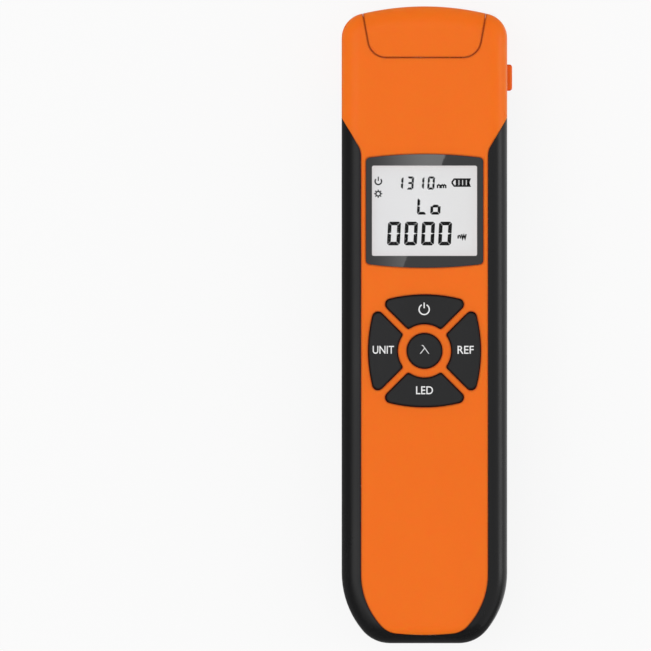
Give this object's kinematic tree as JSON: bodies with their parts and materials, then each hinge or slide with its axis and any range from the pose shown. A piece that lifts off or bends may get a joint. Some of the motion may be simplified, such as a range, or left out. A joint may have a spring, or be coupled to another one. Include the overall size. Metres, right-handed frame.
{
  "type": "optical power meter",
  "caption": "Handheld optical power meter with a display, a ring of keys and a flip cover over the fibre port.",
  "frame": {"origin": "middle of the flat back, half way along the meter on its centre line", "axes": "+X to the right of the front face, +Y to the optical port at the top end, +Z out of the front face"},
  "size_m": [0.0475, 0.177, 0.0276],
  "materials": {
    "orange_shell": "fine satin moulding",
    "black_shell": "fine satin moulding",
    "orange_cover": "fine satin moulding",
    "key_cap": "satin with pale printed marks",
    "window": "clear window with a dark printed border",
    "gasket": "thin foam tape",
    "display_glass": "pale reflective liquid crystal glass",
    "light_guide": "white light guide",
    "holder": "white moulding",
    "mat": "soft silicone",
    "switch": "plain",
    "board": "green solder mask",
    "chip": "plain",
    "plug": "natural nylon",
    "steel": "bright zinc plated",
    "pin_steel": "ground",
    "cell": "foil wrapped",
    "foam": "foam",
    "nickel": "nickel plated",
    "sleeve": "ground zirconia",
    "can": "gold plated header",
    "lamp": "clear lens",
    "plate": "smooth sticker"
  },
  "bodies": {
    "case": {"front_shell": "orange_shell", "rear_shell": "black_shell", "hinge_pin": "pin_steel", "display_lens": "window", "lens_gasket": "gasket", "lcd_panel": "display_glass", "lcd_backlight": "light_guide", "lcd_frame": "holder", "keypad_mat": "mat", "key_switches": "switch", "main_board": "board", "board_screws": "steel", "controller_chip": "chip", "battery_connector": "plug", "battery_cell": "cell", "battery_pad": "foam", "charging_socket": "nickel", "port_adaptor": "nickel", "ferrule_sleeve": "sleeve", "adaptor_screws": "steel", "photodetector": "can", "torch_lamp": "lamp", "case_screws": "steel", "label_plate": "plate"},
    "cover": {"dust_cover": "orange_cover", "cover_pad": "foam"},
    "power_key_cap": {"power_key": "key_cap"},
    "unit_key_cap": {"unit_key": "key_cap"},
    "lamp_key_cap": {"lamp_key": "key_cap"},
    "ref_key_cap": {"ref_key": "key_cap"},
    "wavelength_key_cap": {"wavelength_key": "key_cap"}
  },
  "joints": [
    {"name": "cover_hinge", "type": "hinge", "parent": "case", "child": "cover", "pos_m": [0, 0.06965, 0.0025], "axis": [-1, 0, 0], "range_deg": [0, 90]},
    {"name": "power_key_press", "type": "slide", "parent": "case", "child": "power_key_cap", "axis": [0, 0, -1], "range_m": [0, 0.0006], "stiffness_N_per_m": 1500},
    {"name": "unit_key_press", "type": "slide", "parent": "case", "child": "unit_key_cap", "axis": [0, 0, -1], "range_m": [0, 0.0006], "stiffness_N_per_m": 1500},
    {"name": "lamp_key_press", "type": "slide", "parent": "case", "child": "lamp_key_cap", "axis": [0, 0, -1], "range_m": [0, 0.0006], "stiffness_N_per_m": 1500},
    {"name": "ref_key_press", "type": "slide", "parent": "case", "child": "ref_key_cap", "axis": [0, 0, -1], "range_m": [0, 0.0006], "stiffness_N_per_m": 1500},
    {"name": "wavelength_key_press", "type": "slide", "parent": "case", "child": "wavelength_key_cap", "axis": [0, 0, -1], "range_m": [0, 0.0006], "stiffness_N_per_m": 1500}
  ]
}
